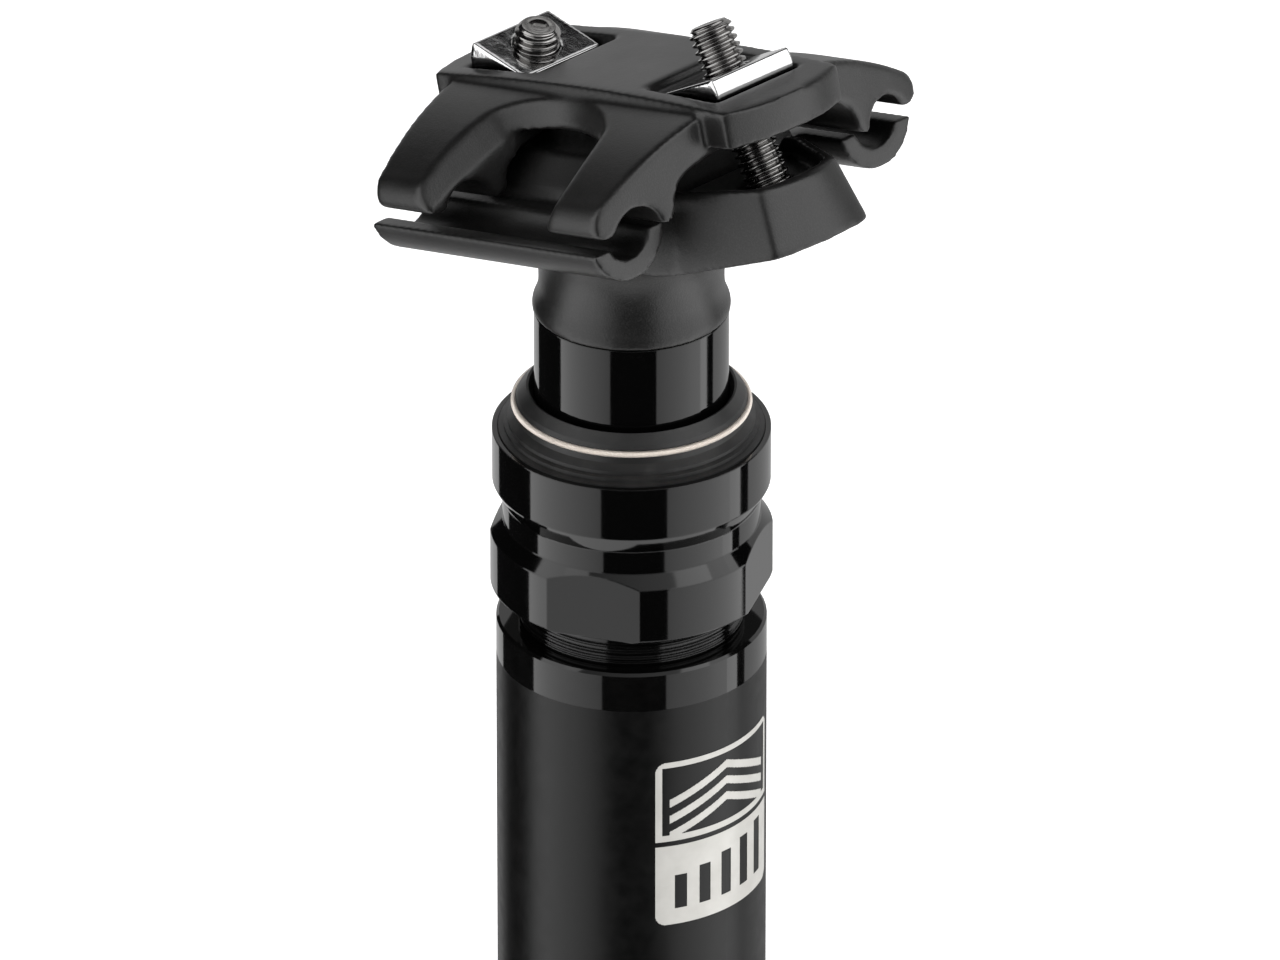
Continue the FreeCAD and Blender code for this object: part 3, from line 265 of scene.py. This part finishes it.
def metal(name, level, warm, rough, stretch=EVEN, scratch=0.003, dark=0.8, metallic=1.0, painted_shade_reach=0.0):
    """Bare or plated metal with tool marks along one direction and soft dirt.

    Where dirt gathers the colour falls to its dark share. A painted shade reach in millimetres paints shade
    into the colour, darkening the metal where other parts stand closer than that.
    """
    s = Shader(name)
    marks = s.noise(2.2, 3, stretch)
    dirt = s.noise(0.5, 4)
    tint = s.ramp(dirt, 0.0, 1.0, 0.35, 0.75)
    colour = s.mix_colour(tint, grey(level, warm), grey(level * dark, warm))
    # Painted shade: the colour falls to near black where other parts stand close, as shade would.
    if painted_shade_reach:
        colour = s.mix_colour(s.ramp(s.openness(painted_shade_reach), 0.0, 1.0, 0.3, 0.75), grey(0.02), colour)
    s.bump(marks, scratch, 0.5)
    return s.finish(colour, s.ramp(marks, *rough, *MIDDLE), metallic)


def plastic(name, colour_a, colour_b, rough):
    """Moulded plastic, mottled between two colours and between two roughnesses."""
    s = Shader(name)
    mottle = s.noise(0.6, 4)
    fine = s.noise(2.5, 3)
    colour = s.mix_colour(s.ramp(mottle, 0.0, 1.0, *NARROW_MIDDLE), colour_a, colour_b)
    s.bump(fine, 0.01, 0.4)
    return s.finish(colour, s.ramp(mottle, *rough, *MIDDLE), specular=0.45)


def felt():
    """Oiled foam and felt with fibres lying round the post."""
    s = Shader("felt")
    fibre = s.noise(2.6, 5, (1, 1, 3))
    colour = s.mix_colour(fibre, (0.16, 0.14, 0.1, 1), (0.34, 0.31, 0.25, 1))
    s.bump(fibre, 0.12, 0.9)
    return s.finish(colour, 0.92, specular=0.2)


def decal_film():
    """Pale printed film, slightly warm, with a fine printed grain."""
    s = Shader("decal_film")
    grain = s.noise(3.5, 3)
    cloud = s.noise(0.25, 3)
    colour = s.mix_colour(s.ramp(cloud, 0.0, 1.0, *MIDDLE), (0.50, 0.49, 0.46, 1), (0.58, 0.57, 0.54, 1))
    s.bump(grain, 0.005, 0.4)
    return s.finish(colour, s.ramp(grain, 0.32, 0.44, *MIDDLE), metallic=0.15)


GLOSS = gloss_anodised()
SATIN = satin_anodised()
FORGED = forged_anodised()
RUBBER = rubber()
# The chrome nuts carry painted shade within 2.5 mm of other parts.
CHROME = metal("chrome", 0.72, 0.0, (0.05, 0.1), (0.22, 0.22, 0.22), scratch=0.026, painted_shade_reach=2.5)
BOLT_STEEL = metal("bolt_steel", 0.34, 0.02, (0.14, 0.26), scratch=0.006, dark=0.5)
BRIGHT_STEEL = metal("bright_steel", 0.62, 0.03, (0.18, 0.3), scratch=0.004)
SPRING_STEEL = metal("spring_steel", 0.9, 0.09, (0.34, 0.44), dark=0.9, metallic=0.6)
ALLOY = metal("alloy", 0.6, 0.0, (0.2, 0.34), (0.05, 0.05, 5), scratch=0.004, dark=0.85)
BRASS = metal("brass", 0.55, 0.28, (0.2, 0.34), (0.2, 0.2, 4), scratch=0.004)
BEARING = plastic("bearing_polymer", grey(0.05), grey(0.075, 0.03), (0.42, 0.54))
ELASTOMER = plastic("elastomer", (0.42, 0.25, 0.04, 1), (0.5, 0.31, 0.06, 1), (0.34, 0.46))
FELT = felt()
DECAL = decal_film()

SLOT_MATERIALS = {
    "tube_black": SATIN, "gloss_black": GLOSS, "forged_black": FORGED, "steel_bright": BRIGHT_STEEL,
    "steel_dark": BOLT_STEEL, "chrome": CHROME, "alloy": ALLOY, "brass": BRASS, "rubber": RUBBER,
    "bearing": BEARING, "foam": FELT, "elastomer": ELASTOMER,
}


# ---------------------------------------------------------------- mesh helpers

def new_piece(name, vertices, faces, material, body):
    mesh = bpy.data.meshes.new(name)
    mesh.from_pydata([tuple(v) for v in vertices], [], faces)
    mesh.materials.append(material)
    mesh.shade_smooth()
    mesh.update()
    piece = bpy.data.objects.new(name, mesh)
    bpy.context.scene.collection.objects.link(piece)
    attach(piece, body)
    return piece


def ring_faces(rows, columns, closed_rows=False):
    """Quads between successive rings of points, the last joined to the first where the rows close."""
    faces = []
    for row in range(rows if closed_rows else rows - 1):
        after = (row + 1) % rows
        for column in range(columns):
            beside = (column + 1) % columns
            faces.append((row * columns + column, row * columns + beside,
                          after * columns + beside, after * columns + column))
    return faces


def soft_copy(name, node, voxel, steps, material):
    """CAD piece with softer edges: its solid is remeshed in even voxels, then relaxed in steps."""
    source = NODES[node]
    piece = bpy.data.objects.new(name, source.data.copy())
    bpy.context.scene.collection.objects.link(piece)
    remesh = piece.modifiers.new("even", "REMESH")
    remesh.mode = "VOXEL"
    remesh.voxel_size = voxel * MM
    remesh.use_smooth_shade = True
    relax = piece.modifiers.new("relax", "SMOOTH")
    relax.iterations = steps
    relax.factor = 0.5
    bpy.context.view_layer.update()
    evaluated = piece.evaluated_get(bpy.context.evaluated_depsgraph_get())
    mesh = bpy.data.meshes.new_from_object(evaluated)
    piece.modifiers.clear()
    piece.data = mesh
    mesh.name = name
    mesh.materials.clear()
    mesh.materials.append(material)
    mesh.shade_smooth()
    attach(piece, source["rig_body"])
    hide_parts(node)
    return piece


# ---------------------------------------------------------------- dress the carried-over CAD nodes

for row in frame["record"]["subparts"]:
    obj = NODES[row["node"]]
    obj.data.materials.clear()
    obj.data.materials.append(SLOT_MATERIALS[row["material_slot"]])


# ---------------------------------------------------------------- forgings

FORGED_VOXEL = 0.34
for forging, relax_steps in (("head_forging", 18), ("upper_clamp", 20), ("lower_cradle", 8)):
    soft_copy(forging + "_soft", forging, FORGED_VOXEL, relax_steps, FORGED)


# ---------------------------------------------------------------- garter spring

def garter_spring():
    """Close-wound wire coil closed on itself round the wiper."""
    low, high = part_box("wiper_garter_spring")
    coil = (high.z - low.z) / 2
    ring = high.x - coil
    wire = 0.09 * MM
    turns = 525
    per_turn = 10
    around = 5
    count = turns * per_turn
    t = np.arange(count) * FULL_TURN / count
    twist = t * turns
    middle = (high.z + low.z) / 2
    radial = np.stack([np.cos(t), np.sin(t), np.zeros(count)], 1)
    up = np.array([0.0, 0.0, 1.0])
    out = radial * np.cos(twist)[:, None] + up * np.sin(twist)[:, None]
    centre = radial * ring + up * middle + out * (coil - wire)
    along = np.stack([-np.sin(t), np.cos(t), np.zeros(count)], 1)
    vertices = []
    for k in range(around):
        a = FULL_TURN * k / around
        vertices.append(centre + (out * math.cos(a) + along * math.sin(a)) * wire)
    vertices = np.stack(vertices, 1).reshape(-1, 3)
    piece = new_piece("garter_coil", vertices, ring_faces(count, around, True), SPRING_STEEL, "lower_tube")
    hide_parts("wiper_garter_spring")


garter_spring()


# ---------------------------------------------------------------- clamp bolts and nuts

# Millimetres: heights along the bolt from its seat, and radii.
BALL_TO_SEAT = 5.24
BOLT_FOOT, BOLT_NECK, BOLT_TIP = -5.3, -1.92, 24.3
BOLT_COLUMNS = 60
HEAD_RADIUS, SOCKET_RADIUS = 4.3, 2.7
THREAD_PITCH, THREAD_CREST, THREAD_ROOT = 1.0, 2.94, 2.36
THREAD_START, THREAD_RUN_IN = BOLT_NECK + 0.4, 1.2


def bolt_frame(end):
    """Seat point of a clamp bolt and its own three directions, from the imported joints."""
    hinge = Vector(JOINTS[end + "_bolt_swing"]["pos_m"])
    along = Vector(JOINTS[end + "_nut_travel"]["axis"]).normalized()
    side = Vector((0, 1, 0))
    ahead = side.cross(along).normalized()
    return [np.array(v) for v in (hinge + along * BALL_TO_SEAT * MM, ahead, side, along)]


def hexagon(radius, angles):
    """Distance from the middle to a hexagon's side at each angle."""
    half_side = math.pi / 6
    turn = np.mod(angles, 2 * half_side) - half_side
    return radius * math.cos(half_side) / np.cos(turn)


def thread_radius(height, angles):
    """Radius of the rolled thread at one height, which starts from a plain shank and ends in a chamfer."""
    turn = np.mod(height / THREAD_PITCH - angles / FULL_TURN, 1.0)
    flank, root_flat, chamfer = 1.35, 0.12, 0.75
    rise = np.clip((0.5 - np.abs(turn - 0.5)) * 2 * flank - root_flat, 0, 1)
    rise = rise * rise * (3 - 2 * rise)
    depth = (THREAD_CREST - THREAD_ROOT) * np.clip((height - THREAD_START) / THREAD_RUN_IN, 0, 1)
    end_cone = THREAD_CREST - 0.05 + 0.9 * (BOLT_TIP - chamfer - height)
    return np.minimum(THREAD_CREST - depth * (1 - rise), end_cone)


def bolt_rows(angles):
    """Radii and height of each ring of a clamp bolt, from the socket's middle over the head to the tip."""
    flat = np.ones(len(angles))
    socket = hexagon(SOCKET_RADIUS, angles)
    foot, neck, tip = BOLT_FOOT, BOLT_NECK, BOLT_TIP
    rows = [(flat * 0.2, foot + 2.1), (socket * 0.96, foot + 2.35), (socket * 0.99, foot + 2.4),
            (socket, foot + 2.3), (socket, foot + 0.25), (socket * 1.06, foot + 0.06), (socket * 1.1, foot)]
    head = [(3.75, foot), (3.95, foot + 0.05), (4.2, foot + 0.3), (HEAD_RADIUS, foot + 0.55),
            (HEAD_RADIUS, neck - 0.25), (4.2, neck - 0.06), (4.0, neck), (3.1, neck), (2.9, neck + 0.2)]
    dished_tip = [(2.2, tip - 0.02), (2.05, tip), (1.45, tip), (1.3, tip - 0.04), (1.0, tip - 0.18),
                  (0.6, tip - 0.25), (0.2, tip - 0.27)]
    rows += [(flat * radius, height) for radius, height in head]
    step = 0.07
    rows += [(thread_radius(height, angles), height) for height in np.arange(THREAD_START, tip - 0.02, step)]
    return rows + [(flat * radius, height) for radius, height in dished_tip]


def clamp_bolt(end):
    """Machined bolt: chamfered head with a hexagon socket, rolled thread, turned and dished tip."""
    angles = np.linspace(0, FULL_TURN, BOLT_COLUMNS, endpoint=False)
    rows = bolt_rows(angles)
    seat, ahead, side, along = bolt_frame(end)
    vertices = []
    for radius, height in rows:
        level = np.full(BOLT_COLUMNS, float(height))
        ring = (np.outer(radius * np.cos(angles), ahead) + np.outer(radius * np.sin(angles), side)
                + np.outer(level, along))
        vertices.append(seat + ring * MM)
    faces = ring_faces(len(rows), BOLT_COLUMNS)
    first_of_last = (len(rows) - 1) * BOLT_COLUMNS
    faces.append(tuple(range(BOLT_COLUMNS))[::-1])
    faces.append(tuple(first_of_last + k for k in range(BOLT_COLUMNS)))
    piece = new_piece(end + "_bolt_threaded", np.concatenate(vertices), faces, BOLT_STEEL, end + "_bolt")
    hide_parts(end + "_clamp_bolt")


NUT_VOXEL = 0.14
for bolt_end in ("rear", "front"):
    clamp_bolt(bolt_end)
    soft_copy(bolt_end + "_nut_plated", bolt_end + "_barrel_nut", NUT_VOXEL, 16, CHROME)


# ---------------------------------------------------------------- printed panel on the lower tube

# Millimetres: the panel's top is a height on the tube, and the other heights go down from it.
TUBE_RADIUS = 17.45
FILM = 0.03
PANEL_TOP = -13.2
PANEL_HALF_WIDTH, PANEL_HEIGHT, PANEL_CORNER = 10.5, 23.9, 1.5
SHEET_HALF_WIDTH, SHEET_HEIGHT = 10.6, 24.0
UPPER_FIELD_FOOT, LOWER_FIELD_TOP = 11.6, 12.3
FIELD_BORDER = 0.85
CHEVRON_TOP, CHEVRON_DEPTH, CHEVRON_HALF_WIDTH = 1.9, 7.0, 8.6
CHEVRON_PITCH, CHEVRON_WIDTH, CHEVRON_SLOPE = 2.35, 1.15, 0.42
BARS_HALF_WIDTH, BAR_PITCH, BAR_SIDES = 8.75, 3.5, (0.9, 2.6)
BAR_FOOT, BAR_REACH, SHORTEST_BAR, BAR_STEP = 21.6, 21.3, 4.6, 0.75


def panel_is_pale(across, down):
    """Whether the printed panel is pale at a point, in millimetres from its middle and from its top."""
    out_x = max(abs(across) - (PANEL_HALF_WIDTH - PANEL_CORNER), 0)
    out_y = max(abs(down - PANEL_HEIGHT / 2) - (PANEL_HEIGHT / 2 - PANEL_CORNER), 0)
    if math.hypot(out_x, out_y) > PANEL_CORNER:
        return False
    if down < UPPER_FIELD_FOOT:
        if min(PANEL_HALF_WIDTH - abs(across), down, UPPER_FIELD_FOOT - down) < FIELD_BORDER:
            return True
        wave = down - CHEVRON_TOP - abs(across) * CHEVRON_SLOPE
        in_chevron = 0 < wave < CHEVRON_DEPTH and wave % CHEVRON_PITCH < CHEVRON_WIDTH
        return in_chevron and abs(across) < CHEVRON_HALF_WIDTH
    if down < LOWER_FIELD_TOP:
        return False
    number, offset = divmod(across + BARS_HALF_WIDTH, BAR_PITCH)
    in_bar = BAR_SIDES[0] < offset < BAR_SIDES[1] and abs(across) < BARS_HALF_WIDTH
    return not (in_bar and BAR_REACH - SHORTEST_BAR - BAR_STEP * number < down < BAR_FOOT)


def printed_panel():
    """Thin printed film on the tube's rearward side: chevrons over a row of rising bars."""
    cell = 0.1
    radius = TUBE_RADIUS + FILM
    vertices, faces, index = [], [], {}

    def corner(i, j):
        if (i, j) not in index:
            index[(i, j)] = len(vertices)
            turn = (i * cell - SHEET_HALF_WIDTH) / radius
            place = (radius * math.cos(turn), radius * math.sin(turn), PANEL_TOP - j * cell)
            vertices.append(tuple(value * MM for value in place))
        return index[(i, j)]

    for i in range(round(2 * SHEET_HALF_WIDTH / cell)):
        for j in range(round(SHEET_HEIGHT / cell)):
            if panel_is_pale((i + 0.5) * cell - SHEET_HALF_WIDTH, (j + 0.5) * cell):
                faces.append((corner(i, j), corner(i, j + 1), corner(i + 1, j + 1), corner(i + 1, j)))
    new_piece("printed_panel", vertices, faces, DECAL, "lower_tube")


printed_panel()


# ---------------------------------------------------------------- stage, light and camera

VIEW_AZIMUTH = math.radians(45.5)
VIEW_ELEVATION = math.radians(28.2)
VIEW_DISTANCE = 2.3
FRAME_WIDTH = 0.1642
TARGET_HEIGHT, TARGET_RIGHT = 18.96 * MM, 1.09 * MM
AMBIENT_GREY = (0.012, 0.012, 0.0125, 1)
WHITE = (1, 1, 1, 1)
FLOOR_REACH = 6.0
BACK = Vector((math.sin(VIEW_AZIMUTH) * math.cos(VIEW_ELEVATION),
               -math.cos(VIEW_AZIMUTH) * math.cos(VIEW_ELEVATION), math.sin(VIEW_ELEVATION)))
RIGHT = Vector((math.cos(VIEW_AZIMUTH), math.sin(VIEW_AZIMUTH), 0))


def camera():
    """Long-lens camera at the photograph's viewing angle."""
    data = bpy.data.cameras.new("camera")
    data.sensor_width = 36
    data.lens = data.sensor_width * VIEW_DISTANCE / FRAME_WIDTH
    data.clip_end = 50
    made = bpy.data.objects.new("camera", data)
    bpy.context.scene.collection.objects.link(made)
    target = Vector((0, 0, TARGET_HEIGHT)) + RIGHT * TARGET_RIGHT
    made.location = target + BACK * VIEW_DISTANCE
    made.rotation_euler = BACK.to_track_quat("Z", "Y").to_euler()
    bpy.context.scene.camera = made


def softbox(name, angle, climb, distance, size, glow):
    """Light panel facing the post, at an angle round it from the camera's side and a climb above the floor.

    The angle is positive to the picture's right. The three glows are at the panel's edge of lower angle, its
    middle and its edge of higher angle.
    """
    data = bpy.data.lights.new(name, "AREA")
    data.shape = "RECTANGLE"
    data.size, data.size_y = size
    data.energy = math.pi * size[0] * size[1]
    data.use_nodes = True
    tree = data.node_tree
    across = tree.nodes.new("ShaderNodeNewGeometry").outputs["Parametric"]
    split = tree.nodes.new("ShaderNodeSeparateXYZ")
    tree.links.new(across, split.inputs["Vector"])
    ramp = tree.nodes.new("ShaderNodeValToRGB")
    ramp.color_ramp.elements.new(0.5)
    for element, level in zip(ramp.color_ramp.elements, glow):
        element.color = (level, level, level, 1)
    tree.links.new(split.outputs["X"], ramp.inputs["Fac"])
    tree.links.new(ramp.outputs["Color"], tree.nodes["Emission"].inputs["Strength"])
    made = bpy.data.objects.new(name, data)
    bpy.context.scene.collection.objects.link(made)
    turn = math.radians(angle)
    rise = math.radians(climb)
    flat = Vector((BACK.x, BACK.y, 0)).normalized()
    level = flat * math.cos(turn) + RIGHT * math.sin(turn)
    direction = level * math.cos(rise) + Vector((0, 0, math.sin(rise)))
    made.location = direction * distance
    made.rotation_euler = direction.to_track_quat("Z", "Y").to_euler()
    made.visible_camera = False


def table_glow(width, level, strength):
    """Dim light from the table under the post, facing up."""
    data = bpy.data.lights.new("table_glow", "AREA")
    data.size = width
    data.energy = math.pi * width * width * strength
    made = bpy.data.objects.new("table_glow", data)
    bpy.context.scene.collection.objects.link(made)
    made.location = (0, 0, level)
    made.rotation_euler = (math.pi, 0, 0)
    made.visible_camera = False


def studio():
    """White surroundings, light panels round the post, the table's glow and a pale floor."""
    world = bpy.data.worlds.new("studio")
    bpy.context.scene.world = world
    world.use_nodes = True
    tree = world.node_tree
    background = tree.nodes["Background"]
    light_path = tree.nodes.new("ShaderNodeLightPath")
    mix = tree.nodes.new("ShaderNodeMix")
    mix.data_type = "RGBA"
    mix.inputs[Shader.COLOUR_A].default_value = AMBIENT_GREY
    mix.inputs[Shader.COLOUR_B].default_value = WHITE
    tree.links.new(light_path.outputs["Is Camera Ray"], mix.inputs["Factor"])
    tree.links.new(mix.outputs[Shader.COLOUR_RESULT], background.inputs["Color"])
    softbox("left_box", -58.5, 0, 1.1, (1.45, 3.0), (2.3, 1.6, 0.95))
    softbox("right_box", 65.5, 0, 1.1, (1.6, 3.1), (1.0, 1.6, 2.25))
    softbox("front_box", 8, 58, 1.2, (2.3, 1.0), (0.2, 0.6, 1.1))
    softbox("backdrop", 165, -10, 1.2, (2.76, 2.6), (0.9, 0.5, 0.9))
    softbox("top_box", 174, 51, 1.2, (0.7, 0.36), (0.9, 0.9, 0.9))
    table_glow(1.15, -0.9, 1.15)
    mesh = bpy.data.meshes.new("floor")
    corners = [(-1, -1), (1, -1), (1, 1), (-1, 1)]
    points = [(FLOOR_REACH * x, FLOOR_REACH * y, CAD_BOX[0].z) for x, y in corners]
    mesh.from_pydata(points, [], [(0, 1, 2, 3)])
    floor = bpy.data.objects.new("floor", mesh)
    bpy.context.scene.collection.objects.link(floor)
    floor.visible_glossy = False
    paint = Shader("floor_paint")
    cloud = paint.noise(0.002, 2)
    colour = paint.mix_colour(cloud, grey(0.86), grey(0.9))
    paint.finish(colour, 0.9, specular=0.1)
    paint.surface.inputs["Emission Color"].default_value = WHITE
    paint.surface.inputs["Emission Strength"].default_value = 0.9
    mesh.materials.append(paint.material)
    bpy.context.scene.view_settings.view_transform = "Standard"


camera()
studio()
